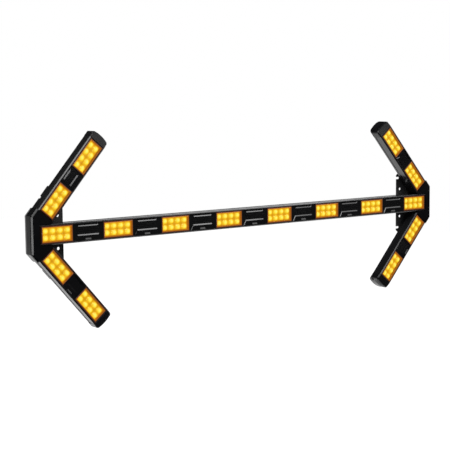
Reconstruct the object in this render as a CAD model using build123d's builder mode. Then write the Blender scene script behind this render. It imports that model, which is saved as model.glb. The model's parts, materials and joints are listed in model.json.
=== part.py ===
"""Double-headed LED arrow bar: a straight light bar with two short arms raked back from each end.

Frame: +X runs along the bar, +Z is up and the lamps face -Y. The origin is the centre of the four
mounting holes, on the plane of the two mounting plates' rear faces. A height h is measured from that
plane towards the lamps, so it lies at y = -h. Every row of lamps (the bar and each arm) has a local
frame: x along the row, y across it with its upper side positive, and the third axis out of the lamps.
Sizes are in millimetres.
"""
import os
from math import cos, radians, sin, sqrt, tan

from build123d import *

os.makedirs("parts", exist_ok=True)

# Layout of the lamps
BAR_MODULES = 8
BAR_PITCH = 176.0
ARM_ANGLE = 49.5            # between each arm and the bar, degrees
ARM_PITCH = 138.9
ARM_SETBACK = 47.5          # from the bar's end back to the centre of an arm's inner lamp
ROW_GAP = 5.0               # between the bar and the nearest corner of an arm

# Heights above the rear plane
PLATE_T = 3.0
FRONT = 43.0
LEDGE_H = FRONT - 7.0       # lamps and blank covers rest on the rows' ledges here

# Row extrusion
WALL = 2.4
LIP_W = 2.0
BEVEL = 2.65
BEVEL_DEPTH = 2.2
LEDGE_W = 2.5
LEDGE_T = 2.0
SIDE_BASE_H = 10.5          # the sides are straight from here to the bevel
BACK_FLAT = 13.0
GROOVE_H = 21.5             # shallow groove along each side, at mid height
GROOVE_W = 9.0
GROOVE_DEPTH = 0.8
PORT_INSET = 5.65           # screw ports in the two rear corners, from the side
PORT_H = 17.0
PORT_R = 3.6
PORT_HOLE_R = 2.1

# Lamp module
LENS_L = 83.7
LENS_W = 38.8
LENS_T = 2.0
LENS_R = 2.5
LENS_EDGE = 0.8
FRAME_W = 1.85              # housing rim at the lens's ends
RIM_W = 1.6                 # and above and below it
FIT = 0.2                   # clearance between pieces that drop into each other
LENS_SEAT_H = LEDGE_H + 0.4
GASKET_T = 0.6
HOUSING_BASE_H = LEDGE_H - 12.0
HOUSING_FLOOR = 2.4
HOUSING_SIDE = 1.2
HOUSING_END = 2.7
BOARD_T = 1.6
OPTIC_BASE_H = FRONT - 8.6
OPTIC_PLATE_T = 1.5
OPTIC_TOP_H = FRONT - 2.5
LED_COLUMNS = 4
LED_ROWS = 2
LED_SIZE = 3.5
LED_T = 1.8

# Blank cover between two lamps
BLANK_FACE_H = FRONT - 2.0
BLANK_LOW_H = FRONT - 0.2         # the lower band stands almost flush with the lips
BLANK_T = 2.2
BLANK_SKIRT = 1.6
UPPER_EDGE = 14.3           # the upper recess starts here
UPPER_DEPTH = 2.0
LOWER_EDGE = -6.0           # the lower band starts here
EDGE_RUN = 1.7              # run of both bands' edges for each unit of depth
BAND_MARGIN = 0.125         # plain ends beside the bands, as a share of the cover's length
BAND_FLARE = 5.7            # the recess widens by this at each end
LOW_BAND_EXTRA = 3.0
LOW_BAND_FLARE = 8.0
RIB_H = 0.5
RIB_W = 1.4
RIB_Y = (-2.0, 2.6, 7.2, 11.8)
NOTCH_L = 17.2
NOTCH_W = 4.6
NOTCH_MARGIN = 1.0
NOTCH_DEPTH = 1.5

# Arm end
ARM_INNER_LAND = 2.7        # between an arm's lamps and its two ends
ARM_OUTER_LAND = 1.2
CAP_GASKET_T = 1.0
CAP_GASKET_INSET = 0.5
CAP_PROUD = 0.5
CAP_SLOPE = 10.0            # its front leans back towards the tip, degrees
CAP_TIP_BEVEL = 3.0
CAP_GROOVES = (24.0, 28.5, 33.0)
CAP_GROOVE_W = 2.2
CAP_GROOVE_DEPTH = 1.4
CAP_GROOVE_REACH = 18.0
CAP_L = 17.4
CAP_BULGE_R = 90.0
CAP_WALL = 2.6
CAP_END_T = 4.5
CAP_CORNER_R = 7.0
CAP_EDGE = 1.4
CAP_POST_R = 4.6
CAP_SCREW_R = 2.0
CAP_SCREW_HOLE_R = 2.2
CAP_HEAD_R = 3.8
CAP_HEAD_T = 2.4
CAP_RECESS_R = 4.2
CAP_SCREW_INTO_PORT = 12.0

# Nose casing
NOSE_REACH = 22.5           # past the bar's end
NOSE_OVERHANG = 4.35        # its slanted faces stand this far outside the arms
BAR_END_LAND = 4.0
NOSE_GAP = 0.3
NOSE_CORNER_R = 4.0
NOSE_SKIN = 3.0
NOSE_WALL = 2.6
NOSE_BEVEL = 3.6
NOSE_SPLIT_H = FRONT - 5.0
NOSE_SHADOW = 3.6
NOSE_LIP_T = 1.2
NOSE_LIP_H = 4.8
NOSE_POST_BASE_H = FRONT - 14.0
NOSE_FLOOR = 2.5
NOSE_TAPER_H = 12.0
NOSE_TAPER = 1.6
NOSE_POST_REACH = 12.6      # the middle post, past the bar's end
NOSE_POST_ARM_GAP = 19.25   # the outer two, past the arm's end
NOSE_POST_INSET = 10.89     # and inside the nose's slanted face
NOSE_POST_R = 5.0
NOSE_POST_HOLE_R = 1.8
NOSE_POST_DEPTH = 8.0
NOSE_SCREW_R = 1.75
NOSE_SCREW_HOLE_R = 2.2
NOSE_SCREW_HEAD_R = 3.6
NOSE_SCREW_END_H = FRONT - 4.8

# Mounting plate
PLATE_L = 85.0              # from its inner edge to the bar's end
PLATE_INSET = 3.0           # from the nose's outline
PLATE_EAR_U = 25.7          # its ears end here along the arms
PLATE_EAR_BACK_U = -7.0
PLATE_EAR_IN = 1.4          # its edges, inside the arms' sides
PLATE_ARM_IN = 2.05
PLATE_STEP_IN = 7.5
PLATE_STEP_BACK_U = -13.0
PLATE_CORNER_R = 1.5
MOUNT_SETBACK = 70.6        # from the bar's end
MOUNT_OFFSET = 16.15        # outside the bar's side
MOUNT_HOLE_R = 4.2
SLOT_OFFSET = 6.8           # from the arm's inner lamp, towards the bar
SLOT_W = 7.0
SLOT_L = 11.4
BOLT_R = 3.0
BOLT_HOLE_R = 3.2
BOLT_HEAD_R = 6.0
BOLT_TIP_H = 11.5
BOLT_KEY_R = 2.25
BOLT_KEY_DEPTH = 1.8
BAR_BOLT_SETBACK = (67.9, 23.9)
ARM_BOLT_SETBACK = (16.6, 58.6)   # from an arm's inner end
NUT_L = 22.0
NUT_W = 12.0
NUT_T = 5.0
NUT_HOLE_R = 3.05
NUT_CORNER_R = 1.5

# Wiring and control inside the bar
LOOM_R = 2.5
LOOM_H = HOUSING_BASE_H - 6.0
LOOM_BAR_Z = 6.0
LOOM_ARM_V = 8.0
LOOM_BEND_R = 14.0
LOOM_START_X = 82.0
LOOM_END = 7.1              # past the outer lamp's centre
TAIL_R = 1.5
CONTROL_L = 150.0
CONTROL_W = 32.0
CONTROL_HOLE_INSET = (5.0, 6.0)
CONNECTOR_SIZE = (7.5, 5.5, 9.0)
STANDOFF_R = 3.0
STANDOFF_HOLE_R = 1.6
STANDOFF_T = 4.0
CONTROL_SCREW_R = 1.5
CONTROL_SCREW_HEAD_R = 2.8
CONTROL_SCREW_HEAD_T = 1.8
INLET_X = -110.0
INLET_R = 8.0
INLET_HOLE_R = 8.2
INLET_FLANGE_R = 11.5
INLET_FLANGE_T = 1.4
INLET_L = 12.0
INLET_NUT_R = 11.0
INLET_NUT_T = 3.0
INLET_SOCKET_R = 6.0
INLET_SOCKET_DEPTH = 9.0
INLET_PIN_R = 0.9
INLET_PIN_L = 4.4
INLET_PIN_PCD_R = 3.2

# Worked out from the above
REAR = PLATE_T
FLOOR_H = REAR + WALL
OPENING = LENS_W / 2 + RIM_W + 2 * FIT
HALF_W = OPENING + LIP_W + BEVEL
NECK = OPENING - LEDGE_W
PORT_V = HALF_W - PORT_INSET
HOUSING_L = LENS_L + 2 * (FIT + FRAME_W)
HOUSING_W = 2 * (OPENING - FIT)
HOUSING_BODY_W = 2 * (NECK - FIT)
POCKET_L = HOUSING_L - 2 * HOUSING_END
POCKET_W = HOUSING_BODY_W - 2 * HOUSING_SIDE
LED_PITCH_X = (POCKET_L + 2 * FIT) / LED_COLUMNS
LED_PITCH_Y = (POCKET_W + FIT) / LED_ROWS
OPTIC_R = min(LED_PITCH_X / 2 - 2 * FIT, LED_PITCH_Y / 2 - 2 * FIT,
              LENS_L / 2 - LENS_T - FIT - (LED_COLUMNS - 1) / 2 * LED_PITCH_X,
              LENS_W / 2 - LENS_T - FIT - (LED_ROWS - 1) / 2 * LED_PITCH_Y)
BOARD_H = HOUSING_BASE_H + HOUSING_FLOOR
LENS_BASE_H = LENS_SEAT_H + GASKET_T
NOTCH_BOTTOM = NOTCH_MARGIN + FIT - OPENING
NOTCH_TOP = NOTCH_BOTTOM + NOTCH_W
BAR_END = (BAR_MODULES - 1) / 2 * BAR_PITCH + HOUSING_L / 2 + BAR_END_LAND
COS, SIN = cos(radians(ARM_ANGLE)), sin(radians(ARM_ANGLE))
ARM_REACH_IN = HOUSING_L / 2 + ARM_INNER_LAND
ARM_REACH_OUT = ARM_PITCH + HOUSING_L / 2 + ARM_OUTER_LAND
ARM_BOLT_U = [setback - ARM_REACH_IN for setback in ARM_BOLT_SETBACK]
ARM_X = BAR_END - ARM_SETBACK
ARM_Z = HALF_W * (1 + COS) + ROW_GAP + ARM_REACH_IN * SIN
NOSE_X = BAR_END + NOSE_REACH
NOSE_V = HALF_W + NOSE_OVERHANG
PLATE_X = BAR_END - PLATE_L
MOUNT_X = BAR_END - MOUNT_SETBACK
MOUNT_Z = HALF_W + MOUNT_OFFSET
SLOT_Z = ARM_Z - SLOT_OFFSET
BAR_BOLT_X = [BAR_END - setback for setback in BAR_BOLT_SETBACK]
CONTROL_H = FLOOR_H + STANDOFF_T
CONTROL_HOLES = [(sx * (CONTROL_L / 2 - CONTROL_HOLE_INSET[0]), sz * (CONTROL_W / 2 - CONTROL_HOLE_INSET[1]))
                 for sx in (-1, 1) for sz in (-1, 1)]
ARM_NAMES = {(-1, 1): "upper_left", (-1, -1): "lower_left", (1, 1): "upper_right", (1, -1): "lower_right"}
SIDE_NAMES = {-1: "left", 1: "right"}


def bar_row(x, h):
    """Plane at x along the bar and height h, facing the front."""
    return Plane(origin=(x, -h, 0), x_dir=(1, 0, 0), z_dir=(0, -1, 0))


def arm_row(side, level):
    """The same for one arm: a function of x along the arm (from its inner lamp) and h."""
    x_dir = (COS, 0, -side * level * SIN)

    def row(x, h):
        origin = (side * ARM_X + x * x_dir[0], -h, level * ARM_Z + x * x_dir[2])
        return Plane(origin=origin, x_dir=x_dir, z_dir=(0, -1, 0))

    return row


def arm_point(u, v):
    """X and Z of the point u along and v outside the upper right arm's centre line."""
    return ARM_X - u * COS + v * SIN, ARM_Z + u * SIN + v * COS


OUTER_POST = arm_point(-ARM_REACH_IN - NOSE_POST_ARM_GAP, NOSE_V - NOSE_POST_INSET)
NOSE_POSTS = ((BAR_END + NOSE_POST_REACH, 0), OUTER_POST, (OUTER_POST[0], -OUTER_POST[1]))


def arm_u_at_x(x, v):
    return (ARM_X + v * SIN - x) / COS


def arm_u_at_z(z, v):
    return (z - ARM_Z - v * COS) / SIN


def across(plane):
    """Plane across a row: local x is the row's y and local y is the height."""
    return Plane(origin=plane.origin, x_dir=plane.y_dir, z_dir=plane.x_dir)


def front_view(h):
    """Plane at height h with local x, y along the object's X and Z."""
    return Plane(origin=(0, -h, 0), x_dir=(1, 0, 0), z_dir=(0, -1, 0))


def save(part, label):
    part.label = label
    export_step(part, f"parts/{label}.step")


def save_group(parts, label):
    """Several separate solids of one kind, in one node."""
    save(Compound(children=[solid for part in parts for solid in part.solids()]), label)


def half_and_mirror(points, arc_end):
    """Face symmetric about local y: a flat back, a round corner up to arc_end, then the given points."""
    with BuildSketch(mode=Mode.PRIVATE) as sketch:
        with BuildLine():
            start = Line((0, points[0][1]), points[0])
            corner = TangentArc(start @ 1, arc_end, tangent=(1, 0))
            Polyline([corner @ 1] + points[1:] + [(0, points[-1][1])])
            mirror(about=Plane.YZ)
        make_face()
    return sketch.sketch


def row_outline(grow=0.0, front=FRONT, bevel=BEVEL, bevel_depth=BEVEL_DEPTH):
    side = HALF_W + grow
    points = [(BACK_FLAT, REAR - grow), (side, front - bevel_depth), (side - bevel, front)]
    return half_and_mirror(points, (side, SIDE_BASE_H))


def row_cavity(inset=0.0):
    side, floor = HALF_W - WALL - inset, FLOOR_H + inset
    top = LEDGE_H - LEDGE_T - inset
    return half_and_mirror([(BACK_FLAT, floor), (side, top)], (side, SIDE_BASE_H + WALL))


# Rows ---------------------------------------------------------------------------------------------

def make_extrusion(row, start, end, bolt_xs, inlet_xs=()):
    """One row's extruded body, open at the front between two lips."""
    with BuildPart() as body:
        with BuildSketch(across(row(start, 0))):
            add(row_outline())
            add(row_cavity(), mode=Mode.SUBTRACT)
            with Locations((0, (LEDGE_H - LEDGE_T + FRONT) / 2)):
                Rectangle(2 * NECK, FRONT - LEDGE_H + LEDGE_T, mode=Mode.SUBTRACT)
            with Locations((0, (LEDGE_H + FRONT) / 2)):
                Rectangle(2 * OPENING, FRONT - LEDGE_H, mode=Mode.SUBTRACT)
            with Locations((HALF_W, GROOVE_H), (-HALF_W, GROOVE_H)):
                Rectangle(2 * GROOVE_DEPTH, GROOVE_W, mode=Mode.SUBTRACT)
            with Locations((PORT_V, PORT_H), (-PORT_V, PORT_H)):
                Circle(PORT_R)
                Circle(PORT_HOLE_R, mode=Mode.SUBTRACT)
        extrude(amount=end - start)
        with BuildSketch(row(0, REAR)):
            with Locations([(x, 0) for x in bolt_xs]):
                Circle(BOLT_HOLE_R)
            if inlet_xs:
                with Locations([(x, 0) for x in inlet_xs]):
                    Circle(INLET_HOLE_R)
        extrude(amount=WALL, mode=Mode.SUBTRACT)
    return body.part


def make_lens(plane_at, x):
    with BuildPart() as lens:
        with BuildSketch(plane_at(x, LENS_BASE_H)):
            RectangleRounded(LENS_L, LENS_W, LENS_R)
        extrude(amount=FRONT - LENS_BASE_H)
        front_edges = lens.faces().sort_by(Axis.Y)[0].edges()
        fillet(front_edges, LENS_EDGE)
        with BuildSketch(plane_at(x, LENS_BASE_H)):
            RectangleRounded(LENS_L - 2 * LENS_T, LENS_W - 2 * LENS_T, LENS_R / 2)
        extrude(amount=FRONT - LENS_BASE_H - LENS_T, mode=Mode.SUBTRACT)
    return lens.part


def make_lens_gasket(plane_at, x):
    with BuildPart() as gasket:
        with BuildSketch(plane_at(x, LENS_SEAT_H)):
            RectangleRounded(LENS_L, LENS_W, LENS_R)
            Rectangle(POCKET_L, LENS_W - 2 * LENS_T, mode=Mode.SUBTRACT)
        extrude(amount=GASKET_T)
    return gasket.part


def make_housing(plane_at, x):
    """Lamp tray: a rim that drops between the lips, on a deeper body between the ledges."""
    with BuildPart() as housing:
        with BuildSketch(plane_at(x, HOUSING_BASE_H)):
            Rectangle(HOUSING_L, HOUSING_BODY_W)
        extrude(amount=LEDGE_H - HOUSING_BASE_H)
        with BuildSketch(plane_at(x, LEDGE_H)):
            Rectangle(HOUSING_L, HOUSING_W)
        extrude(amount=FRONT - FIT - LEDGE_H)
        with BuildSketch(plane_at(x, LENS_SEAT_H)):
            RectangleRounded(LENS_L + 2 * FIT, LENS_W + 2 * FIT, LENS_R + FIT)
        extrude(amount=FRONT - LENS_SEAT_H, mode=Mode.SUBTRACT)
        with BuildSketch(plane_at(x, BOARD_H)):
            Rectangle(POCKET_L, POCKET_W)
        extrude(amount=LENS_SEAT_H - BOARD_H, mode=Mode.SUBTRACT)
    return housing.part


def make_led_board(plane_at, x):
    with BuildPart() as board:
        with BuildSketch(plane_at(x, BOARD_H)):
            Rectangle(POCKET_L - 2 * FIT, POCKET_W - 2 * FIT)
        extrude(amount=BOARD_T)
        with BuildSketch(plane_at(x, BOARD_H + BOARD_T)):
            with GridLocations(LED_PITCH_X, LED_PITCH_Y, LED_COLUMNS, LED_ROWS):
                Rectangle(LED_SIZE, LED_SIZE)
        extrude(amount=LED_T)
    return board.part


def make_optics(plane_at, x):
    """Clear plate on a foot rim, with one domed optic over each LED."""
    length, width = POCKET_L - 2 * FIT, POCKET_W - 2 * FIT
    foot_h = BOARD_H + BOARD_T
    dome_base = OPTIC_BASE_H + OPTIC_PLATE_T
    rise = OPTIC_TOP_H - dome_base
    dome_r = (OPTIC_R ** 2 + rise ** 2) / (2 * rise)
    with BuildPart() as optics:
        with BuildSketch(plane_at(x, foot_h)):
            Rectangle(length, width)
            Rectangle(length - 2 * BOARD_T, width - 2 * BOARD_T, mode=Mode.SUBTRACT)
        extrude(amount=OPTIC_BASE_H - foot_h)
        with BuildSketch(plane_at(x, OPTIC_BASE_H)):
            Rectangle(length, width)
        extrude(amount=OPTIC_PLATE_T)
        with BuildPart(mode=Mode.PRIVATE) as dome:
            with BuildSketch(Plane.XZ):
                with BuildLine():
                    floor = Line((0, 0), (OPTIC_R, 0))
                    RadiusArc(floor @ 1, (0, rise), -dome_r)
                    Line((0, rise), (0, 0))
                make_face()
            revolve(axis=Axis.Z)
        with Locations(plane_at(x, dome_base)):
            with GridLocations(LED_PITCH_X, LED_PITCH_Y, LED_COLUMNS, LED_ROWS):
                add(dome.part)
    return optics.part


def band(half_flat, edge, far, flare):
    """Trapezoid from y = edge to y = far, wider at the far side by flare at each end."""
    with BuildSketch(mode=Mode.PRIVATE) as sketch:
        with BuildLine():
            Polyline((-half_flat, edge), (half_flat, edge), (half_flat + flare, far),
                     (-half_flat - flare, far), close=True)
        make_face()
    return sketch.sketch


def make_blank(plane_at, x, length):
    """Snap-in cover: skirted plate with a flared recess above, ribs, and a raised band with a notch."""
    half_w = OPENING - FIT
    margin = BAND_MARGIN * length
    half_flat = length / 2 - margin - BAND_FLARE
    low_flat = half_flat + LOW_BAND_EXTRA
    with BuildPart() as blank:
        with BuildSketch(plane_at(x, LEDGE_H)):
            Rectangle(length, 2 * half_w)
        extrude(amount=BLANK_FACE_H - LEDGE_H)
        # upper recess, with an edge that faces up and forward
        with BuildSketch(plane_at(x, BLANK_FACE_H)):
            add(band(half_flat, UPPER_EDGE, half_w, BAND_FLARE))
        with BuildSketch(plane_at(x, BLANK_FACE_H - UPPER_DEPTH)):
            add(band(half_flat, UPPER_EDGE + EDGE_RUN * UPPER_DEPTH, half_w, BAND_FLARE - UPPER_DEPTH))
        loft(mode=Mode.SUBTRACT)
        # lower band, raised, with the same edge
        rise = BLANK_LOW_H - BLANK_FACE_H
        with BuildSketch(plane_at(x, BLANK_FACE_H)):
            add(band(low_flat, LOWER_EDGE, -half_w, LOW_BAND_FLARE))
        with BuildSketch(plane_at(x, BLANK_LOW_H)):
            add(band(low_flat, LOWER_EDGE - EDGE_RUN * rise, -half_w, LOW_BAND_FLARE - rise))
        loft()
        with BuildSketch(plane_at(x, LEDGE_H)):
            Rectangle(length, 2 * half_w)
        extrude(amount=FRONT - LEDGE_H, mode=Mode.INTERSECT)
        with BuildSketch(plane_at(x, BLANK_FACE_H)):
            with Locations([(0, y) for y in RIB_Y]):
                SlotOverall(length - 2 * margin, RIB_W)
        extrude(amount=RIB_H)
        # thumb notch whose floor slopes up to its lower edge
        with BuildSketch(across(plane_at(x - NOTCH_L / 2, 0))):
            with BuildLine():
                Polyline((NOTCH_TOP, BLANK_LOW_H), (NOTCH_TOP, BLANK_LOW_H - NOTCH_DEPTH),
                         (NOTCH_BOTTOM, BLANK_LOW_H), close=True)
            make_face()
        extrude(amount=NOTCH_L, mode=Mode.SUBTRACT)
        with BuildSketch(plane_at(x, LEDGE_H)):
            Rectangle(length - 2 * BLANK_SKIRT, 2 * (half_w - BLANK_SKIRT))
        extrude(amount=BLANK_FACE_H - UPPER_DEPTH - BLANK_T / 2 - LEDGE_H, mode=Mode.SUBTRACT)
    return blank.part


# Arm ends -----------------------------------------------------------------------------------------

def toward_tip(side, row, u):
    """Plane across an arm at u, facing its tip; local x is across the arm."""
    plane = across(row(-side * u, 0))
    if side > 0:
        plane = Plane(origin=plane.origin, x_dir=-plane.x_dir, z_dir=-plane.z_dir)
    return plane


def make_cap_gasket(side, row):
    with BuildPart() as gasket:
        with BuildSketch(toward_tip(side, row, ARM_REACH_OUT)):
            offset(row_outline(), amount=-CAP_GASKET_INSET)
            add(row_cavity(), mode=Mode.SUBTRACT)
            with Locations((PORT_V, PORT_H), (-PORT_V, PORT_H)):
                Circle(PORT_R)
                Circle(CAP_SCREW_HOLE_R, mode=Mode.SUBTRACT)
        extrude(amount=CAP_GASKET_T)
    return gasket.part


def make_end_cap(side, row):
    """Moulded cap, crowned at the tip, hollow behind, with two screw posts."""
    base_u = ARM_REACH_OUT + CAP_GASKET_T
    tip_u = base_u + CAP_L
    half = HALF_W + CAP_PROUD
    crown_centre = tip_u - sqrt(CAP_BULGE_R ** 2 - (half + 1) ** 2)
    length = crown_centre + CAP_BULGE_R + 1 - base_u
    with BuildPart() as cap:
        with BuildSketch(toward_tip(side, row, base_u)):
            add(row_outline(CAP_PROUD, FRONT + CAP_PROUD / 2, CAP_EDGE, CAP_EDGE))
        extrude(amount=length)
        # round the tip in the front view
        with BuildSketch(row(0, -CAP_PROUD)):
            with BuildLine():
                base = -side * (base_u - 1)
                tip = -side * tip_u
                low = Line((base, -half - 1), (tip, -half - 1))
                crown = RadiusArc(low @ 1, (tip, half + 1), side * CAP_BULGE_R)
                Polyline(crown @ 1, (base, half + 1), low @ 0)
            make_face()
        extrude(amount=FRONT + 3 * CAP_PROUD, mode=Mode.INTERSECT)
        # lean the front back
        lean = length * tan(radians(CAP_SLOPE))
        front_h = FRONT + CAP_PROUD / 2
        with BuildSketch(Plane(origin=row(0, 0).origin, x_dir=row(0, 0).x_dir, z_dir=(-row(0, 0).y_dir))):
            with BuildLine():
                near, far = -side * base_u, -side * (base_u + length)
                Polyline((near, front_h), (far, front_h), (far, front_h - lean), close=True)
            make_face()
        extrude(amount=2 * half, both=True, mode=Mode.SUBTRACT)
        corner_edges = [e for e in cap.edges().filter_by(Axis.Y)
                        if e.length > (FRONT - SIDE_BASE_H) / 2
                        and abs(row(0, 0).to_local_coords(e.center()).X) > tip_u - 1]
        fillet(corner_edges, CAP_CORNER_R)
        tip_edges = [e for e in cap.edges() if e.length > HALF_W and -e.center().Y > front_h - lean - 1
                     and abs(row(0, 0).to_local_coords(e.center()).X) > tip_u - CAP_CORNER_R]
        chamfer(tip_edges, CAP_TIP_BEVEL)
        # grooves across the crowned end
        for height in CAP_GROOVES:
            with BuildSketch(row(0, height)):
                with BuildLine():
                    floor_u = crown_centre + sqrt(CAP_BULGE_R ** 2 - CAP_GROOVE_REACH ** 2) - CAP_GROOVE_DEPTH
                    inner, outer = -side * floor_u, -side * (base_u + length)
                    low = Line((outer, -CAP_GROOVE_REACH), (inner, -CAP_GROOVE_REACH))
                    floor = RadiusArc(low @ 1, (inner, CAP_GROOVE_REACH), side * CAP_BULGE_R)
                    Polyline(floor @ 1, (outer, CAP_GROOVE_REACH), low @ 0)
                make_face()
            extrude(amount=CAP_GROOVE_W, mode=Mode.SUBTRACT)
        with BuildSketch(toward_tip(side, row, base_u)):
            add(row_cavity(CAP_WALL - WALL))
        extrude(amount=CAP_L - CAP_END_T, mode=Mode.SUBTRACT)
        with BuildSketch(toward_tip(side, row, base_u)):
            with Locations((PORT_V, PORT_H), (-PORT_V, PORT_H)):
                Circle(CAP_POST_R)
        extrude(amount=CAP_L - CAP_END_T)
        with BuildSketch(toward_tip(side, row, base_u)):
            with Locations((PORT_V, PORT_H), (-PORT_V, PORT_H)):
                Circle(CAP_SCREW_HOLE_R)
        extrude(amount=CAP_L + CAP_BULGE_R, mode=Mode.SUBTRACT)
        with BuildSketch(toward_tip(side, row, tip_u - CAP_HEAD_T)):
            with Locations((PORT_V, PORT_H), (-PORT_V, PORT_H)):
                Circle(CAP_RECESS_R)
        extrude(amount=CAP_BULGE_R, mode=Mode.SUBTRACT)
    return cap.part


def make_cap_screws(side, row):
    """Two pan-head screws into one arm's ports."""
    head_u = ARM_REACH_OUT + CAP_GASKET_T + CAP_L - CAP_HEAD_T
    with BuildPart() as screws:
        with BuildSketch(toward_tip(side, row, ARM_REACH_OUT - CAP_SCREW_INTO_PORT)):
            with Locations((PORT_V, PORT_H), (-PORT_V, PORT_H)):
                Circle(CAP_SCREW_R)
        extrude(amount=head_u - ARM_REACH_OUT + CAP_SCREW_INTO_PORT)
        with BuildSketch(toward_tip(side, row, head_u)):
            with Locations((PORT_V, PORT_H), (-PORT_V, PORT_H)):
                Circle(CAP_HEAD_R)
        extrude(amount=CAP_HEAD_T)
        with BuildSketch(toward_tip(side, row, head_u + CAP_HEAD_T / 3)):
            with Locations((PORT_V, PORT_H), (-PORT_V, PORT_H)):
                RegularPolygon(CAP_SCREW_R, 6)
        extrude(amount=CAP_HEAD_T, mode=Mode.SUBTRACT)
    return screws.part


# Noses --------------------------------------------------------------------------------------------

def nose_points(side, inset=0.0):
    """Front outline of a nose, round the ends of the bar and arms; inset moves its outer faces in."""
    v, x = NOSE_V - inset, NOSE_X - inset
    start_u = -ARM_REACH_IN - NOSE_GAP
    bar_z = HALF_W + NOSE_GAP
    upper = [
        (BAR_END + NOSE_GAP, bar_z),
        (arm_point(arm_u_at_z(bar_z, -HALF_W), -HALF_W)[0], bar_z),
        arm_point(start_u, -HALF_W),
        arm_point(start_u, v),
        (x, arm_point(arm_u_at_x(x, v), v)[1]),
    ]
    lower = [(px, -pz) for px, pz in reversed(upper)]
    return [(side * px, pz) for px, pz in upper + lower]


def nose_face(side, inset=0.0):
    with BuildSketch(mode=Mode.PRIVATE) as sketch:
        with BuildLine():
            Polyline(nose_points(side, inset), close=True)
        make_face()
        fillet([p for p in sketch.vertices() if abs(p.X) > NOSE_X - inset - 1], NOSE_CORNER_R)
    return sketch.sketch


def nose_pocket_face(side, inset):
    """Space inside a nose's outer walls, open towards the bar and the arms."""
    v, x = NOSE_V - inset, NOSE_X - inset
    corner = arm_point(arm_u_at_x(x, v), v)
    far = arm_point(0, v)
    upper = [(BAR_END - 2 * HALF_W, far[1]), far, corner]
    points = upper + [(px, -pz) for px, pz in reversed(upper)]
    with BuildSketch(mode=Mode.PRIVATE) as sketch:
        with BuildLine():
            Polyline([(side * px, pz) for px, pz in points], close=True)
        make_face()
    return sketch.sketch


def make_nose_cover(side):
    """Front skin with a bevelled rim, a short outer wall and screw posts."""
    with BuildPart() as cover:
        with BuildSketch(front_view(NOSE_SPLIT_H)):
            add(nose_face(side))
        extrude(amount=FRONT - NOSE_SPLIT_H)
        front_edges = cover.faces().sort_by(Axis.Y)[0].edges()
        chamfer([e for e in front_edges if on_nose_outside(e.center())], NOSE_BEVEL)
        with BuildSketch(front_view(NOSE_SPLIT_H)):
            add(nose_pocket_face(side, NOSE_WALL))
        extrude(amount=FRONT - NOSE_SKIN - NOSE_SPLIT_H, mode=Mode.SUBTRACT)
        with BuildSketch(front_view(NOSE_POST_BASE_H)):
            with Locations([(side * x, z) for x, z in NOSE_POSTS]):
                Circle(NOSE_POST_R)
        extrude(amount=FRONT - NOSE_SKIN - NOSE_POST_BASE_H)
        with BuildSketch(front_view(NOSE_POST_BASE_H)):
            with Locations([(side * x, z) for x, z in NOSE_POSTS]):
                Circle(NOSE_POST_HOLE_R)
        extrude(amount=FRONT - NOSE_SKIN - NOSE_POST_BASE_H, mode=Mode.SUBTRACT)
    return cover.part


def on_nose_outside(point):
    """True on the nose's vertical and slanted outer faces and the corners between them."""
    x, z = abs(point.X), abs(point.Z)
    v = (x - ARM_X) * SIN + (z - ARM_Z) * COS
    return v > NOSE_V - 1 or x > NOSE_X - 1


def make_nose_body(side):
    """Rear shell of a nose: a floor, outer walls that taper in at the back, and a locating lip."""
    top_h = NOSE_SPLIT_H - NOSE_SHADOW
    with BuildPart() as body:
        with BuildSketch(front_view(REAR)):
            add(nose_face(side, NOSE_TAPER))
        with BuildSketch(front_view(NOSE_TAPER_H)):
            add(nose_face(side))
        loft()
        with BuildSketch(front_view(NOSE_TAPER_H)):
            add(nose_face(side))
        extrude(amount=top_h - NOSE_TAPER_H)
        with BuildSketch(front_view(REAR + NOSE_FLOOR)):
            add(nose_pocket_face(side, NOSE_WALL + NOSE_TAPER))
        extrude(amount=top_h - REAR - NOSE_FLOOR, mode=Mode.SUBTRACT)
        with BuildSketch(front_view(top_h)):
            add(nose_face(side, NOSE_WALL + FIT))
            add(nose_pocket_face(side, NOSE_WALL + FIT + NOSE_LIP_T), mode=Mode.SUBTRACT)
        extrude(amount=NOSE_LIP_H)
        with BuildSketch(front_view(REAR + NOSE_FLOOR)):
            with Locations([(side * x, z) for x, z in NOSE_POSTS]):
                Circle(NOSE_POST_R)
        extrude(amount=NOSE_POST_DEPTH)
        with BuildSketch(front_view(REAR)):
            with Locations([(side * x, z) for x, z in NOSE_POSTS]):
                Circle(NOSE_SCREW_HOLE_R)
        extrude(amount=NOSE_FLOOR + NOSE_POST_DEPTH, mode=Mode.SUBTRACT)
    return body.part


def make_nose_screws(side):
    """Countersunk screws from the rear face of the plate into the cover's posts."""
    with BuildPart() as screws:
        with BuildSketch(front_view(0)):
            with Locations([(side * x, z) for x, z in NOSE_POSTS]):
                Circle(NOSE_SCREW_HEAD_R)
        extrude(amount=NOSE_SCREW_HEAD_R - NOSE_SCREW_R, taper=45)
        with BuildSketch(front_view(0)):
            with Locations([(side * x, z) for x, z in NOSE_POSTS]):
                Circle(NOSE_SCREW_R)
        extrude(amount=NOSE_SCREW_END_H)
        with BuildSketch(front_view(0)):
            with Locations([(side * x, z) for x, z in NOSE_POSTS]):
                RegularPolygon(NOSE_SCREW_R, 6)
        extrude(amount=NOSE_SCREW_R / 2, mode=Mode.SUBTRACT)
    return screws.part


# Mounting plates ----------------------------------------------------------------------------------

def bolt_points(side):
    """X and Z of the bolts that hold a plate to the bar and the two arms on its side."""
    points = [(side * x, 0) for x in BAR_BOLT_X]
    for u in ARM_BOLT_U:
        x, z = arm_point(u, 0)
        points += [(side * x, z), (side * x, -z)]
    return points


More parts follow.
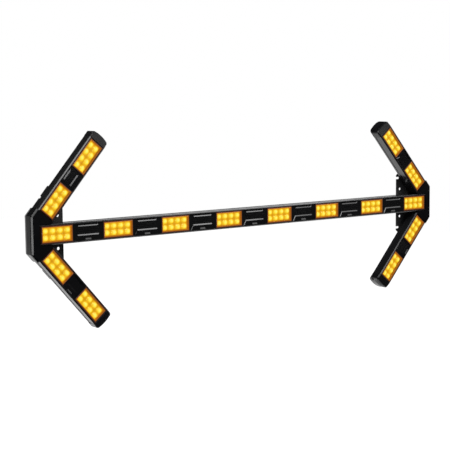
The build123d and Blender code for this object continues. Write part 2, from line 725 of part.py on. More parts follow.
def make_plate(side):
    """Flat steel plate behind the bar's end and the roots of both arms."""
    v, x = NOSE_V - PLATE_INSET, NOSE_X - PLATE_INSET
    ear_v, arm_v, step_v = [HALF_W - inset for inset in (PLATE_EAR_IN, PLATE_ARM_IN, PLATE_STEP_IN)]
    inner_v = ((PLATE_X - ARM_X) + PLATE_EAR_U * COS) / SIN
    upper = [
        (PLATE_X, arm_point(PLATE_EAR_U, inner_v)[1]),
        arm_point(PLATE_EAR_U, ear_v),
        arm_point(PLATE_EAR_BACK_U, ear_v),
        arm_point(PLATE_EAR_BACK_U, step_v),
        arm_point(PLATE_STEP_BACK_U, step_v),
        arm_point(PLATE_STEP_BACK_U, arm_v),
        arm_point(-ARM_REACH_IN, arm_v),
        arm_point(-ARM_REACH_IN, v),
        (x, arm_point(arm_u_at_x(x, v), v)[1]),
    ]
    outline = upper + [(px, -pz) for px, pz in reversed(upper)]
    with BuildPart() as plate:
        with BuildSketch(front_view(0)) as plate_sketch:
            with BuildLine():
                Polyline([(side * px, pz) for px, pz in outline], close=True)
            make_face()
            fillet(plate_sketch.vertices(), PLATE_CORNER_R)
            with Locations([(side * PLATE_X, z) for z in (SLOT_Z, -SLOT_Z)]):
                SlotOverall(2 * SLOT_L, SLOT_W, mode=Mode.SUBTRACT)
            with Locations([(side * MOUNT_X, z) for z in (MOUNT_Z, -MOUNT_Z)]):
                Circle(MOUNT_HOLE_R, mode=Mode.SUBTRACT)
        extrude(amount=PLATE_T)
        with Locations([Plane(origin=(bx, 0, bz), x_dir=(1, 0, 0), z_dir=(0, 1, 0))
                        for bx, bz in bolt_points(side)]):
            CounterSinkHole(BOLT_HOLE_R, BOLT_HEAD_R + FIT, PLATE_T, 90)
        with Locations([Plane(origin=(side * px, 0, pz), x_dir=(1, 0, 0), z_dir=(0, 1, 0))
                        for px, pz in NOSE_POSTS]):
            CounterSinkHole(NOSE_SCREW_HOLE_R, NOSE_SCREW_HEAD_R + FIT, PLATE_T, 90)
    return plate.part


def make_plate_bolts(side):
    with BuildPart() as bolts:
        with BuildSketch(front_view(0)):
            with Locations(bolt_points(side)):
                Circle(BOLT_HEAD_R)
        extrude(amount=BOLT_HEAD_R - BOLT_R, taper=45)
        with BuildSketch(front_view(0)):
            with Locations(bolt_points(side)):
                Circle(BOLT_R)
        extrude(amount=BOLT_TIP_H)
        with BuildSketch(front_view(0)):
            with Locations(bolt_points(side)):
                RegularPolygon(BOLT_KEY_R, 6)
        extrude(amount=BOLT_KEY_DEPTH, mode=Mode.SUBTRACT)
    return bolts.part


def make_slide_nut(row, x):
    with BuildPart() as nut:
        with BuildSketch(row(x, FLOOR_H)):
            RectangleRounded(NUT_L, NUT_W, NUT_CORNER_R)
            Circle(NUT_HOLE_R, mode=Mode.SUBTRACT)
        extrude(amount=NUT_T)
    return nut.part


# Inside the bar -----------------------------------------------------------------------------------

def make_loom(side, level, tail_xs):
    """Cable from the control board round the nose into one arm, with a tail to each lamp it feeds."""
    corner_u = arm_u_at_z(LOOM_BAR_Z, LOOM_ARM_V)
    corner_x = arm_point(corner_u, LOOM_ARM_V)[0]
    end_x, end_z = arm_point(ARM_PITCH + LOOM_END, LOOM_ARM_V)
    with BuildPart() as loom:
        with BuildLine() as path:
            FilletPolyline(
                (side * LOOM_START_X, -LOOM_H, level * LOOM_BAR_Z),
                (side * corner_x, -LOOM_H, level * LOOM_BAR_Z),
                (side * end_x, -LOOM_H, level * end_z),
                radius=LOOM_BEND_R)
        with BuildSketch(Plane(origin=path.line @ 0, z_dir=path.line % 0)):
            Circle(LOOM_R)
        sweep()
        tails = [(x, level * LOOM_BAR_Z) for x in tail_xs]
        for u in (0, ARM_PITCH):
            x, z = arm_point(u, LOOM_ARM_V)
            tails.append((side * x, level * z))
        with BuildSketch(front_view(LOOM_H)):
            with Locations(tails):
                Circle(TAIL_R)
        extrude(amount=HOUSING_BASE_H - LOOM_H)
    return loom.part


def make_control_board():
    """Flasher and driver board with its parts and four connectors soldered on."""
    top = CONTROL_H + BOARD_T
    parts = (((0, 0), (16, 16), 2.5), ((-26, 4), (10, 14), 8.0), ((26, -4), (12, 12), 6.0),
             ((-46, 0), (8, 20), 5.0), ((46, 2), (9, 16), 7.0), ((12, 10), (6, 4), 2.0),
             ((-10, -10), (6, 4), 2.0))
    with BuildPart() as board:
        with BuildSketch(front_view(CONTROL_H)):
            Rectangle(CONTROL_L, CONTROL_W)
            with Locations(CONTROL_HOLES):
                Circle(STANDOFF_HOLE_R, mode=Mode.SUBTRACT)
        extrude(amount=BOARD_T)
        for place, size, height in parts:
            with BuildSketch(front_view(top)):
                with Locations(place):
                    Rectangle(*size)
            extrude(amount=height)
        with BuildSketch(front_view(top)):
            with GridLocations(CONTROL_L - CONNECTOR_SIZE[0], CONNECTOR_SIZE[1] + 2 * FIT, 2, 2):
                Rectangle(*CONNECTOR_SIZE[:2])
        extrude(amount=CONNECTOR_SIZE[2])
    return board.part


def make_standoffs():
    with BuildPart() as standoffs:
        with BuildSketch(front_view(FLOOR_H)):
            with Locations(CONTROL_HOLES):
                Circle(STANDOFF_R)
                Circle(STANDOFF_HOLE_R, mode=Mode.SUBTRACT)
        extrude(amount=STANDOFF_T)
    return standoffs.part


def make_control_screws():
    with BuildPart() as screws:
        with BuildSketch(front_view(FLOOR_H + FIT)):
            with Locations(CONTROL_HOLES):
                Circle(CONTROL_SCREW_R)
        extrude(amount=STANDOFF_T + BOARD_T - FIT)
        with BuildSketch(front_view(CONTROL_H + BOARD_T)):
            with Locations(CONTROL_HOLES):
                Circle(CONTROL_SCREW_HEAD_R)
        extrude(amount=CONTROL_SCREW_HEAD_T)
    return screws.part


def make_power_inlet():
    """Round chassis socket through the bar's back, with its four moulded-in pins."""
    with BuildPart() as inlet:
        with BuildSketch(bar_row(INLET_X, REAR - INLET_FLANGE_T)):
            Circle(INLET_FLANGE_R)
        extrude(amount=INLET_FLANGE_T)
        with BuildSketch(bar_row(INLET_X, REAR)):
            Circle(INLET_R)
        extrude(amount=INLET_L)
        with BuildSketch(bar_row(INLET_X, REAR - INLET_FLANGE_T)):
            Circle(INLET_SOCKET_R)
        extrude(amount=INLET_SOCKET_DEPTH, mode=Mode.SUBTRACT)
        with BuildSketch(bar_row(INLET_X, REAR - INLET_FLANGE_T + INLET_SOCKET_DEPTH - INLET_PIN_L)):
            with PolarLocations(INLET_PIN_PCD_R, 4, start_angle=45):
                Circle(INLET_PIN_R)
        extrude(amount=INLET_PIN_L)
    return inlet.part


def make_inlet_nut():
    with BuildPart() as nut:
        with BuildSketch(bar_row(INLET_X, FLOOR_H)):
            RegularPolygon(INLET_NUT_R, 6)
            Circle(INLET_R + 0.05, mode=Mode.SUBTRACT)
        extrude(amount=INLET_NUT_T)
    return nut.part


# Assembly -----------------------------------------------------------------------------------------

bar_centres = [(k - (BAR_MODULES - 1) / 2) * BAR_PITCH for k in range(BAR_MODULES)]
arms = {key: arm_row(*key) for key in ARM_NAMES}

save(make_extrusion(bar_row, -BAR_END, BAR_END, [s * x for s in (-1, 1) for x in BAR_BOLT_X], [INLET_X]),
     "bar_extrusion")
for (side, level), row in arms.items():
    name = ARM_NAMES[side, level]
    ends = sorted((side * ARM_REACH_IN, -side * ARM_REACH_OUT))
    save(make_extrusion(row, *ends, [-side * u for u in ARM_BOLT_U]), f"{name}_arm_extrusion")
    save(make_end_cap(side, row), f"{name}_end_cap")

# Lamp modules: every lens is a node, and the pieces behind the lenses are grouped by bar and arms
lamp_places = [(bar_row, x) for x in bar_centres]
arm_places = [(row, x) for (side, _), row in arms.items() for x in (0, -side * ARM_PITCH)]
for k, (row, x) in enumerate(lamp_places, 1):
    save(make_lens(row, x), f"bar_lens_{k}")
for (side, level), row in arms.items():
    for spot, x in (("inner", 0), ("outer", -side * ARM_PITCH)):
        save(make_lens(row, x), f"{ARM_NAMES[side, level]}_{spot}_lens")
for make, label in ((make_housing, "module_housings"), (make_led_board, "led_boards"),
                    (make_optics, "lamp_optics")):
    save_group([make(row, x) for row, x in lamp_places], f"bar_{label}")
    save_group([make(row, x) for row, x in arm_places], f"arm_{label}")
save_group([make_lens_gasket(row, x) for row, x in lamp_places + arm_places], "lens_gaskets")

# Blank covers between neighbouring lamps
bar_blank_l = BAR_PITCH - HOUSING_L - 2 * FIT
arm_blank_l = ARM_PITCH - HOUSING_L - 2 * FIT
for k in range(BAR_MODULES - 1):
    save(make_blank(bar_row, bar_centres[k] + BAR_PITCH / 2, bar_blank_l), f"bar_blank_cover_{k + 1}")
for (side, level), row in arms.items():
    save(make_blank(row, -side * ARM_PITCH / 2, arm_blank_l), f"{ARM_NAMES[side, level]}_blank_cover")

save_group([make_cap_gasket(side, row) for (side, _), row in arms.items()], "end_cap_gaskets")
save_group([make_cap_screws(side, row) for (side, _), row in arms.items()], "end_cap_screws")

for side, name in SIDE_NAMES.items():
    save(make_nose_cover(side), f"{name}_nose_cover")
    save(make_nose_body(side), f"{name}_nose_body")
    save(make_plate(side), f"{name}_mounting_plate")
save_group([make_nose_screws(side) for side in SIDE_NAMES], "nose_screws")
save_group([make_plate_bolts(side) for side in SIDE_NAMES], "plate_bolts")
slide_nuts = [make_slide_nut(bar_row, side * x) for side in SIDE_NAMES for x in BAR_BOLT_X]
slide_nuts += [make_slide_nut(row, -side * u) for (side, _), row in arms.items() for u in ARM_BOLT_U]
save_group(slide_nuts, "slide_nuts")

half = BAR_MODULES // 2
feeds = {(-1, 1): bar_centres[:half], (1, 1): bar_centres[half:], (-1, -1): [], (1, -1): []}
save_group([make_loom(side, level, feeds[side, level]) for side, level in arms], "wiring_looms")
save(make_control_board(), "control_board")
save_group([make_standoffs()], "board_standoffs")
save_group([make_control_screws()], "board_screws")
save(make_power_inlet(), "power_inlet")
save(make_inlet_nut(), "inlet_nut")
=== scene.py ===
"""Looks, light and camera for the double-headed LED arrow bar. Sizes are in metres, in the model's frame."""
import json
import math

import bpy
from mathutils import Matrix, Vector


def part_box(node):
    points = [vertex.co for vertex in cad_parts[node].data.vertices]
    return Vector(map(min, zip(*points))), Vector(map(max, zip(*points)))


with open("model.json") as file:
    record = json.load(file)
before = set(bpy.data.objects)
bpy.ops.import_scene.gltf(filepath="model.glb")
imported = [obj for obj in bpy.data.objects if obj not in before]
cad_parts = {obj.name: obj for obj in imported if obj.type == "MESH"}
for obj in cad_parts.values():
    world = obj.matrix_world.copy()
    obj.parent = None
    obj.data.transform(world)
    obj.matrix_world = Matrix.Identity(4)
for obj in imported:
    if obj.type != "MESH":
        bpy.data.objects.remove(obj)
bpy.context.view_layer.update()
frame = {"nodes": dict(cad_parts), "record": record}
NODES = frame["nodes"]


def centre(node):
    low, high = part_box(node)
    return (Vector(low) + Vector(high)) / 2


def extent(node):
    low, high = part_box(node)
    return Vector(high) - Vector(low)


# The rows' own axes, read from the lenses
FIRST_LENS = centre("bar_lens_1")
BAR_PITCH = (centre("bar_lens_2") - FIRST_LENS).x
LENS_L, LENS_W = extent("bar_lens_1").x, extent("bar_lens_1").z
FRONT = -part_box("bar_lens_1")[0][1]
INNER, OUTER = centre("upper_right_inner_lens"), centre("upper_right_outer_lens")
ARM_PITCH = (OUTER - INNER).length
ARM_ALONG = (OUTER - INNER).normalized()
ARM_ACROSS = Vector((ARM_ALONG.z, 0, -ARM_ALONG.x))
HALF_W = extent("bar_extrusion").z / 2
LED_PITCH = (0.0207, 0.0176)  # along and across a row
LIP_BEVEL = 0.00265  # how far a row's bevelled lip reaches in from its side


def linear(*rgb):
    """Scene colour of an 8-bit display colour."""
    return tuple((c / 255 / 12.92) if c <= 10 else ((c / 255 + 0.055) / 1.055) ** 2.4 for c in rgb)


# Node graphs --------------------------------------------------------------------------------------

class Graph:
    """A material's node tree, with short calls for the nodes used here."""

    def __init__(self, name):
        self.material = bpy.data.materials.new(name)
        self.material.use_nodes = True
        self.tree = self.material.node_tree
        self.tree.nodes.clear()
        self.output = self.node("ShaderNodeOutputMaterial")
        self.place = self.node("ShaderNodeTexCoord").outputs["Object"]

    def node(self, kind, values=(), **settings):
        made = self.tree.nodes.new(kind)
        for key, value in settings.items():
            setattr(made, key, value)
        for key, value in dict(values).items():
            self.feed(made.inputs[key], value)
        return made

    def feed(self, socket, value):
        if isinstance(value, bpy.types.NodeSocket):
            self.tree.links.new(value, socket)
        elif isinstance(value, (tuple, list, Vector)) and socket.type == "RGBA":
            socket.default_value = (*value[:3], 1)
        else:
            socket.default_value = value

    def math(self, operation, *terms):
        return self.node("ShaderNodeMath", enumerate(terms), operation=operation).outputs[0]

    def vector(self, operation, *terms):
        made = self.node("ShaderNodeVectorMath", enumerate(terms), operation=operation)
        return made.outputs["Value" if operation in ("DOT_PRODUCT", "LENGTH") else "Vector"]

    def join(self, x, y, z):
        return self.node("ShaderNodeCombineXYZ", {0: x, 1: y, 2: z}).outputs[0]

    def split(self, vector):
        return self.node("ShaderNodeSeparateXYZ", {0: vector}).outputs

    def smooth(self, value, start, end, low=0.0, high=1.0):
        """low before start, high after end, with an eased step between."""
        return self.node("ShaderNodeMapRange", {0: value, 1: start, 2: end, 3: low, 4: high},
                         interpolation_type="SMOOTHSTEP").outputs[0]

    def noise(self, vector, scale, detail=3.0, roughness=0.55):
        return self.node("ShaderNodeTexNoise", {"Vector": vector, "Scale": scale, "Detail": detail,
                                                "Roughness": roughness}).outputs[0]

    def ramp(self, value, stops):
        made = self.node("ShaderNodeValToRGB", {0: value})
        elements = made.color_ramp.elements
        while len(elements) < len(stops):
            elements.new(0.5)
        for element, (position, colour) in zip(elements, stops):
            element.position = position
            element.color = (*colour, 1)
        return made.outputs[0]

    def mix(self, share, a, b, blend="MIX"):
        made = self.node("ShaderNodeMix", data_type="RGBA", blend_type=blend)
        for socket, value in zip((made.inputs[0], made.inputs[6], made.inputs[7]), (share, a, b)):
            self.feed(socket, value)
        return made.outputs[2]

    def bump(self, height, distance, strength=1.0):
        values = {"Height": height, "Distance": distance, "Strength": strength}
        return self.node("ShaderNodeBump", values).outputs[0]

    def principled(self, **values):
        names = {key.replace("_", " "): value for key, value in values.items()}
        return self.node("ShaderNodeBsdfPrincipled", names)

    def finish(self, shader):
        self.feed(self.output.inputs[0], shader.outputs[0])
        return self.material


def row_axes(g, arm):
    """Along, along from the nearest lamp's centre, across and height, on the bar or on any of the arms."""
    if arm:
        away = g.vector("SUBTRACT", g.vector("ABSOLUTE", g.place), (INNER.x, 0, INNER.z))
        along = g.vector("DOT_PRODUCT", away, ARM_ALONG)
        across = g.vector("DOT_PRODUCT", away, ARM_ACROSS)
        height = g.split(away)[1]
        pitch = ARM_PITCH
    else:
        x, y, across = g.split(g.place)
        along = g.math("SUBTRACT", x, FIRST_LENS.x)
        height = g.math("MULTIPLY", y, -1.0)
        pitch = BAR_PITCH
    near = g.math("WRAP", along, pitch / 2, -pitch / 2)
    return along, near, across, height


def own_side(g):
    """A different offset on each side and level, so that the four arms don't repeat one pattern."""
    x, _, z = g.split(g.place)
    return g.join(g.math("MULTIPLY", g.math("SIGN", x), 3.1), g.math("MULTIPLY", g.math("SIGN", z), 5.3), 0.0)


def from_lens_edge(g, near, across):
    """How far outside the lens's outline a point of a lamp lies; negative inside it."""
    return g.math("MAXIMUM", g.math("SUBTRACT", g.math("ABSOLUTE", near), LENS_L / 2),
                  g.math("SUBTRACT", g.math("ABSOLUTE", across), LENS_W / 2))


# Materials ----------------------------------------------------------------------------------------

def anodised(arm):
    """Satin black extrusion: die lines, cloudy sheen, rubbed edges, and a painted amber lamp glow on the lips
    by the lamps.
    """
    g = Graph("anodised_arm" if arm else "anodised_bar")
    along, near, across, height = row_axes(g, arm)
    row = g.vector("ADD", g.join(along, across, height), own_side(g))
    lines = g.noise(g.vector("MULTIPLY", row, (5.0, 1400.0, 1400.0)), 1.0, 2.0)
    clouds = g.noise(g.vector("MULTIPLY", row, (9.0, 40.0, 40.0)), 1.0, 4.0)
    rub = g.noise(row, 260.0, 5.0, 0.7)
    side = g.math("ABSOLUTE", across)
    from_lip = g.math("ABSOLUTE", g.math("SUBTRACT", side, HALF_W - LIP_BEVEL))
    from_side = g.math("ABSOLUTE", g.math("SUBTRACT", side, HALF_W))
    edge = g.math("MAXIMUM", g.smooth(from_lip, 0.0, 0.0007, 1, 0), g.smooth(from_side, 0.0, 0.0005, 1, 0))
    edge = g.math("MULTIPLY", edge, g.smooth(height, FRONT - 0.0035, FRONT - 0.002))
    worn = g.math("MULTIPLY", edge, g.smooth(rub, 0.5, 0.72))
    colour = g.mix(clouds, (0.004, 0.004, 0.0045), (0.010, 0.010, 0.011))
    colour = g.mix(g.math("MULTIPLY", lines, 0.25), colour, (0.020, 0.020, 0.021))
    colour = g.mix(g.math("MULTIPLY", worn, 0.35), colour, (0.12, 0.12, 0.123))
    rough = g.math("ADD", g.math("MULTIPLY", clouds, 0.12), g.math("MULTIPLY", lines, 0.05))
    # Painted lamp light: an amber emission on the lips next to each lens stands in for light spilling from
    # the lamps
    painted_lamp_glow = g.math("MULTIPLY", g.smooth(from_lens_edge(g, near, across), 0.0015, 0.0046, 1, 0),
                   g.smooth(height, FRONT - 0.0022, FRONT - 0.0008))
    shader = g.principled(Base_Color=colour, Roughness=g.math("ADD", rough, 0.15),
                          Emission_Color=g.mix(painted_lamp_glow, (0, 0, 0), linear(56, 26, 10)), Emission_Strength=1.0,
                          Normal=g.bump(lines, 0.000004))
    return g.finish(shader)


def moulded(name, dark, light, rough, gloss):
    """Moulded black plastic: spark-eroded grain, faint flow marks and a few light scuffs."""
    g = Graph(name)
    pits = g.noise(g.place, 5000.0, 2.0, 0.6)
    flow = g.noise(g.vector("MULTIPLY", g.place, (14.0, 30.0, 22.0)), 1.0, 5.0, 0.6)
    scuff = g.noise(g.vector("MULTIPLY", g.place, (60.0, 500.0, 420.0)), 1.0, 6.0, 0.75)
    marks = g.smooth(scuff, 0.66, 0.80)
    colour = g.mix(flow, dark, light)
    colour = g.mix(g.math("MULTIPLY", marks, 0.25), colour, (0.12, 0.12, 0.12))
    roughness = g.math("ADD", g.math("MULTIPLY", pits, 0.12), g.math("MULTIPLY", flow, 0.16))
    shader = g.principled(Base_Color=colour, Roughness=g.math("ADD", roughness, rough - 0.14),
                          Specular_IOR_Level=gloss, Normal=g.bump(pits, 0.000003))
    return g.finish(shader)


def powder_coat():
    """Black powder coat over steel: orange peel and a few chips."""
    g = Graph("powder_coat")
    peel = g.noise(g.place, 420.0, 2.0)
    fine = g.noise(g.place, 2400.0, 2.0)
    chips = g.smooth(g.noise(g.place, 170.0, 8.0, 0.8), 0.70, 0.74)
    height = g.math("ADD", peel, g.math("MULTIPLY", fine, 0.25))
    colour = g.mix(peel, (0.014, 0.014, 0.015), (0.026, 0.026, 0.028))
    colour = g.mix(g.math("MULTIPLY", chips, 0.5), colour, (0.22, 0.21, 0.20))
    shader = g.principled(Base_Color=colour, Normal=g.bump(height, 0.00012),
                          Roughness=g.math("ADD", g.math("MULTIPLY", fine, 0.2), 0.34))
    return g.finish(shader)


def plated(name, dark, light, rough):
    """Plated or turned metal with fine tool marks."""
    g = Graph(name)
    turned = g.noise(g.vector("MULTIPLY", g.place, (900.0, 4000.0, 900.0)), 1.0, 3.0)
    tone = g.noise(g.place, 90.0, 4.0)
    shader = g.principled(Base_Color=g.mix(tone, dark, light), Metallic=1.0, Normal=g.bump(turned, 0.00001),
                          Roughness=g.math("ADD", g.math("MULTIPLY", turned, 0.2), rough - 0.1))
    return g.finish(shader)


def rubber(name, dark, light):
    """Matt rubber or cable sheath: fine grain and a little dust."""
    g = Graph(name)
    grain = g.noise(g.place, 2600.0, 3.0, 0.7)
    dust = g.noise(g.place, 70.0, 5.0, 0.65)
    shader = g.principled(Base_Color=g.mix(g.smooth(dust, 0.35, 0.75), dark, light),
                          Roughness=g.math("ADD", g.math("MULTIPLY", grain, 0.2), 0.62),
                          Normal=g.bump(grain, 0.00005))
    return g.finish(shader)


def circuit(name, mask, mask_light, copper):
    """Solder mask with tracks that show through it as lighter lines."""
    g = Graph(name)
    tracks = g.node("ShaderNodeTexBrick", {"Vector": g.vector("MULTIPLY", g.place, (1.0, 0.0, 1.0)),
                                           "Color1": (0, 0, 0), "Color2": (0, 0, 0), "Mortar": (1, 1, 1),
                                           "Scale": 110.0, "Mortar Size": 0.03}).outputs[0]
    tone = g.noise(g.place, 400.0, 3.0)
    colour = g.mix(g.math("MULTIPLY", tracks, 0.6), g.mix(tone, mask, mask_light), copper)
    shader = g.principled(Base_Color=colour, Normal=g.bump(tracks, 0.00006),
                          Roughness=g.math("ADD", g.math("MULTIPLY", tone, 0.25), 0.25))
    return g.finish(shader)


def lamp_optic(arm):
    """Lit amber optics: a bright core over every LED that falls off through yellow to orange at the rim."""
    g = Graph("lamp_optic_arm" if arm else "lamp_optic_bar")
    _, near, across, _ = row_axes(g, arm)
    cell = [g.math("WRAP", g.math("SUBTRACT", value, pitch / 2), pitch / 2, -pitch / 2)
            for value, pitch in zip((near, across), LED_PITCH)]
    spread = g.vector("LENGTH", g.join(g.math("DIVIDE", cell[0], LED_PITCH[0] / 2),
                                       g.math("DIVIDE", cell[1], LED_PITCH[1] / 2), 0.0))
    grain = g.noise(g.vector("MULTIPLY", g.place, (300.0, 100.0, 300.0)), 1.0, 3.0)
    spread = g.math("ADD", spread, g.math("MULTIPLY", g.math("SUBTRACT", grain, 0.5), 0.35))
    glow = g.ramp(g.math("DIVIDE", spread, 1.5), (
        (0.0, linear(255, 252, 140)), (0.22, linear(255, 246, 98)), (0.38, linear(255, 226, 60)),
        (0.54, linear(238, 188, 34)), (0.76, linear(222, 160, 22)), (1.0, linear(204, 136, 16))))
    rim = g.smooth(from_lens_edge(g, near, across), -0.0042, -0.0014)
    glow = g.mix(rim, glow, linear(190, 104, 18))
    outward = g.join(g.math("MULTIPLY", spread, 0.5), 0.0, 0.0)
    rings = g.node("ShaderNodeTexWave", {"Vector": outward, "Scale": 6.0}, wave_type="BANDS").outputs[1]
    shader = g.principled(Base_Color=linear(64, 44, 8), Roughness=0.18, Emission_Color=glow,
                          Emission_Strength=1.0, Normal=g.bump(rings, 0.0001, 0.5))
    return g.finish(shader)


def lamp_lens(arm):
    """Clear cover: see-through in the middle, its walls filled with brown-amber light."""
    g = Graph("lamp_lens_arm" if arm else "lamp_lens_bar")
    _, near, across, _ = row_axes(g, arm)
    speck = g.noise(g.place, 900.0, 3.0)
    clear = g.node("ShaderNodeBsdfTransparent", {"Color": (1.0, 0.98, 0.90)})
    gloss = g.node("ShaderNodeBsdfGlossy", {"Color": (1, 1, 1), "Roughness": g.math(
        "ADD", g.math("MULTIPLY", speck, 0.08), 0.03)})
    outside = g.math("SUBTRACT", 1.0, g.node("ShaderNodeNewGeometry").outputs["Backfacing"])
    fresnel = g.math("MULTIPLY", g.node("ShaderNodeFresnel", {"IOR": 1.5}).outputs[0], outside)
    body = g.node("ShaderNodeMixShader", {0: fresnel, 1: clear.outputs[0], 2: gloss.outputs[0]})
    depth = from_lens_edge(g, near, across)
    wall_glow = g.mix(g.smooth(depth, -0.0020, -0.0002), linear(222, 140, 24), linear(118, 54, 12))
    wall = g.principled(Base_Color=(0.05, 0.018, 0.004), Roughness=0.16, Emission_Color=wall_glow,
                        Emission_Strength=1.0)
    share = g.smooth(g.math("ADD", depth, g.math("MULTIPLY", g.math("SUBTRACT", speck, 0.5), 0.0006)),
                     -0.0024, -0.0014, 0.0, 0.92)
    shader = g.node("ShaderNodeMixShader", {0: share, 1: body.outputs[0], 2: wall.outputs[0]})
    return g.finish(shader)


def lamp_housing(arm):
    """Black lamp tray whose rim picks up some of the lamp's light."""
    g = Graph("lamp_housing_arm" if arm else "lamp_housing_bar")
    _, near, across, _ = row_axes(g, arm)
    pits = g.noise(g.place, 1500.0, 2.0, 0.6)
    glow = g.smooth(from_lens_edge(g, near, across), 0.0, 0.0017, 1.0, 0.06)
    shader = g.principled(Base_Color=g.mix(pits, (0.012, 0.010, 0.009), (0.024, 0.021, 0.019)),
                          Roughness=g.math("ADD", g.math("MULTIPLY", pits, 0.15), 0.3),
                          Emission_Color=g.mix(glow, (0, 0, 0), linear(112, 50, 14)), Emission_Strength=1.0,
                          Normal=g.bump(pits, 0.00004))
    return g.finish(shader)


# Every CAD node gets its material ------------------------------------------------------------------

# Edge radius of each rounded slot, and the angle from which an edge is rounded
ROUNDED = {"blank_plastic": 0.0004, "cap_plastic": 0.0005, "nose_plastic": 0.0005,
           "anodised_housing": 0.0003, "plate_steel": 0.0003}
SHARP_FROM = math.radians(28)


def soften(obj, radius):
    """Real edges are never sharp: a small radius catches the light."""
    bevel = obj.modifiers.new("edge_radius", "BEVEL")
    bevel.width = radius
    bevel.segments = 2
    bevel.limit_method = "ANGLE"
    bevel.angle_limit = SHARP_FROM
    bevel.harden_normals = True


def dress():
    """Give every node the material of its slot; the row materials come in a bar and an arm form."""
    shared = {
        "blank_plastic": moulded("blank_plastic", (0.003, 0.003, 0.0035), (0.006, 0.006, 0.0065), 0.18, 0.60),
        "cap_plastic": moulded("cap_plastic", (0.004, 0.004, 0.0045), (0.009, 0.009, 0.010), 0.26, 0.30),
        "nose_plastic": moulded("nose_plastic", (0.002, 0.002, 0.0025), (0.006, 0.006, 0.007), 0.20, 0.22),
        "inlet_plastic": moulded("inlet_plastic", (0.012, 0.012, 0.012), (0.03, 0.03, 0.03), 0.45, 0.50),
        "plate_steel": powder_coat(),
        "fastener_steel": plated("fastener_steel", (0.05, 0.05, 0.052), (0.10, 0.10, 0.105), 0.36),
        "zinc_steel": plated("zinc_steel", (0.48, 0.49, 0.52), (0.66, 0.67, 0.68), 0.32),
        "brass_standoff": plated("brass_standoff", (0.62, 0.42, 0.16), (0.78, 0.58, 0.26), 0.28),
        "seal_rubber": rubber("seal_rubber", (0.012, 0.012, 0.012), (0.035, 0.034, 0.033)),
        "cable_sheath": rubber("cable_sheath", (0.015, 0.015, 0.017), (0.04, 0.04, 0.042)),
        "led_board": circuit("led_board", (0.78, 0.77, 0.72), (0.86, 0.85, 0.80), (0.66, 0.62, 0.50)),
        "control_board": circuit("control_board", (0.012, 0.10, 0.04), (0.02, 0.14, 0.06),
                                 (0.16, 0.30, 0.10)),
    }
    by_row = {"anodised_housing": anodised, "lamp_optic": lamp_optic, "lamp_lens": lamp_lens,
              "lamp_housing": lamp_housing}
    made = {(slot, arm): make(arm) for slot, make in by_row.items() for arm in (False, True)}
    slots = {entry["node"]: entry["material_slot"] for entry in frame["record"]["subparts"]}
    for name, obj in NODES.items():
        slot = slots[name]
        material = shared.get(slot) or made[slot, not name.startswith("bar_")]
        obj.data.materials.clear()
        obj.data.materials.append(material)
        if slot in ROUNDED:
            soften(obj, ROUNDED[slot])


# Stage, light and camera --------------------------------------------------------------------------

# The floor, a disc below the object and mostly behind it
FLOOR_RADIUS, FLOOR_DROP, FLOOR_SIDES = 5.0, 1.0, 96
FLOOR_MIDDLE = (1.2, 4.6)

# Each light's name, place, target, size and radiance
LIGHTS = (
    ("overhead", (1.44, -0.60, 1.95), (0, 0, 0), (2.6, 1.0), 3.8),
    ("front_right", (1.95, -2.05, 1.85), (0, 0, 0), (2.8, 2.0), 2.2),
    ("cap_strip", (1.9, -2.6, 0.50), (0, 0, 0), (2.0, 0.3), 2.5),
    ("above_camera", (-1.25, -1.70, 2.15), (0, 0, 0), (2.6, 1.3), 6.5),
    ("left_strip", (-3.35, -1.30, -0.30), (-0.68, 0, 0), (0.5, 1.0), 12.0),
)

# The camera: sensor and lens in millimetres, place in metres, turns in radians
SENSOR_W, FOCAL_L = 36.0, 95.71
CAMERA_PLACE = (-1.99751, -2.69338, 0.35284)
YAW, PITCH, ROLL = -0.6206547, 0.1124585, -0.0103208


def area_light(name, place, target, size, radiance):
    """A rectangular light facing its target, just as bright to look at whatever its size."""
    light = bpy.data.lights.new(name, "AREA")
    light.shape = "RECTANGLE"
    light.size = size[0]
    light.size_y = size[1]
    light.energy = radiance * math.pi * size[0] * size[1]
    obj = bpy.data.objects.new(name, light)
    bpy.context.scene.collection.objects.link(obj)
    away = Vector(place) - Vector(target)
    obj.matrix_world = Matrix.Translation(place) @ away.to_track_quat("Z", "Y").to_matrix().to_4x4()


def build_floor():
    """A pale round floor, lit as well as glowing, so that it stays as white as the background."""
    mesh = bpy.data.meshes.new("floor")
    turns = [2 * math.pi * k / FLOOR_SIDES for k in range(FLOOR_SIDES)]
    rim = [(FLOOR_MIDDLE[0] + FLOOR_RADIUS * math.cos(turn), FLOOR_MIDDLE[1] + FLOOR_RADIUS * math.sin(turn),
            -FLOOR_DROP) for turn in turns]
    mesh.from_pydata(rim, [], [tuple(range(FLOOR_SIDES))])
    floor = bpy.data.objects.new("floor", mesh)
    bpy.context.scene.collection.objects.link(floor)
    g = Graph("floor_paper")
    paper = g.noise(g.place, 3.0, 5.0)
    shader = g.principled(Base_Color=g.mix(paper, (0.90, 0.90, 0.90), (0.93, 0.93, 0.93)), Roughness=0.8,
                          Emission_Color=(1, 1, 1), Emission_Strength=1.0)
    mesh.materials.append(g.finish(shader))


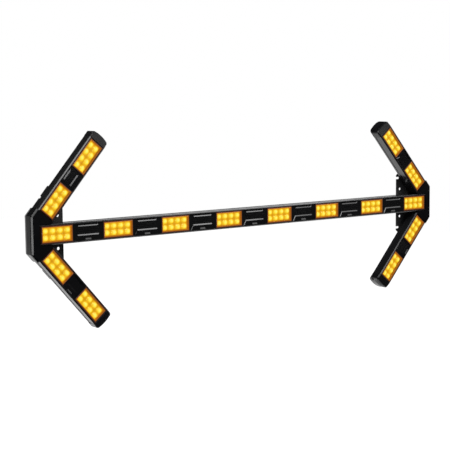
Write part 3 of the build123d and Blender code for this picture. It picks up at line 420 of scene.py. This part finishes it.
def build_world():
    """A white horizon behind the object, dim overhead, to the left and on the side that the lamps face."""
    world = bpy.data.worlds.new("studio")
    bpy.context.scene.world = world
    world.use_nodes = True
    tree = world.node_tree
    tree.nodes.clear()
    new = tree.nodes.new
    link = tree.links.new
    direction = new("ShaderNodeSeparateXYZ")
    link(new("ShaderNodeTexCoord").outputs["Generated"], direction.inputs[0])

    def fade(source, start, end, low, high):
        step = new("ShaderNodeMapRange")
        step.interpolation_type = "SMOOTHSTEP"
        link(source, step.inputs[0])
        for socket, value in zip(list(step.inputs)[1:5], (start, end, low, high)):
            socket.default_value = value
        return step.outputs[0]

    def combine(operation, a, b):
        step = new("ShaderNodeMath")
        step.operation = operation
        link(a, step.inputs[0])
        link(b, step.inputs[1])
        return step.outputs[0]

    behind = fade(direction.outputs[1], -0.1, 0.45, 0.03, 1.0)
    low = fade(direction.outputs[2], 0.12, 0.38, 1.0, 0.03)
    right = fade(direction.outputs[0], -0.5, -0.15, 0.3, 1.0)
    seen = new("ShaderNodeLightPath").outputs["Is Camera Ray"]
    background = new("ShaderNodeBackground")
    output = new("ShaderNodeOutputWorld")
    lit = combine("MULTIPLY", combine("MULTIPLY", behind, low), right)
    link(combine("MAXIMUM", lit, seen), background.inputs[1])
    background.inputs[0].default_value = (1, 1, 1, 1)
    link(background.outputs[0], output.inputs[0])


def build_camera():
    """A long lens to the left of the object, a little above it."""
    data = bpy.data.cameras.new("camera")
    data.sensor_width = SENSOR_W
    data.lens = FOCAL_L
    camera = bpy.data.objects.new("camera", data)
    bpy.context.scene.collection.objects.link(camera)
    upright = Matrix(((1, 0, 0), (0, 0, -1), (0, 1, 0)))
    turn = (Matrix.Rotation(ROLL, 3, "Z") @ Matrix.Rotation(PITCH, 3, "X") @ Matrix.Rotation(YAW, 3, "Y")
            @ upright)
    axes = Matrix((turn[0], -turn[1], -turn[2])).transposed()
    camera.matrix_world = Matrix.Translation(CAMERA_PLACE) @ axes.to_4x4()
    bpy.context.scene.camera = camera


dress()
build_floor()
build_world()
for light in LIGHTS:
    area_light(*light)
build_camera()
bpy.context.scene.view_settings.view_transform = "Standard"
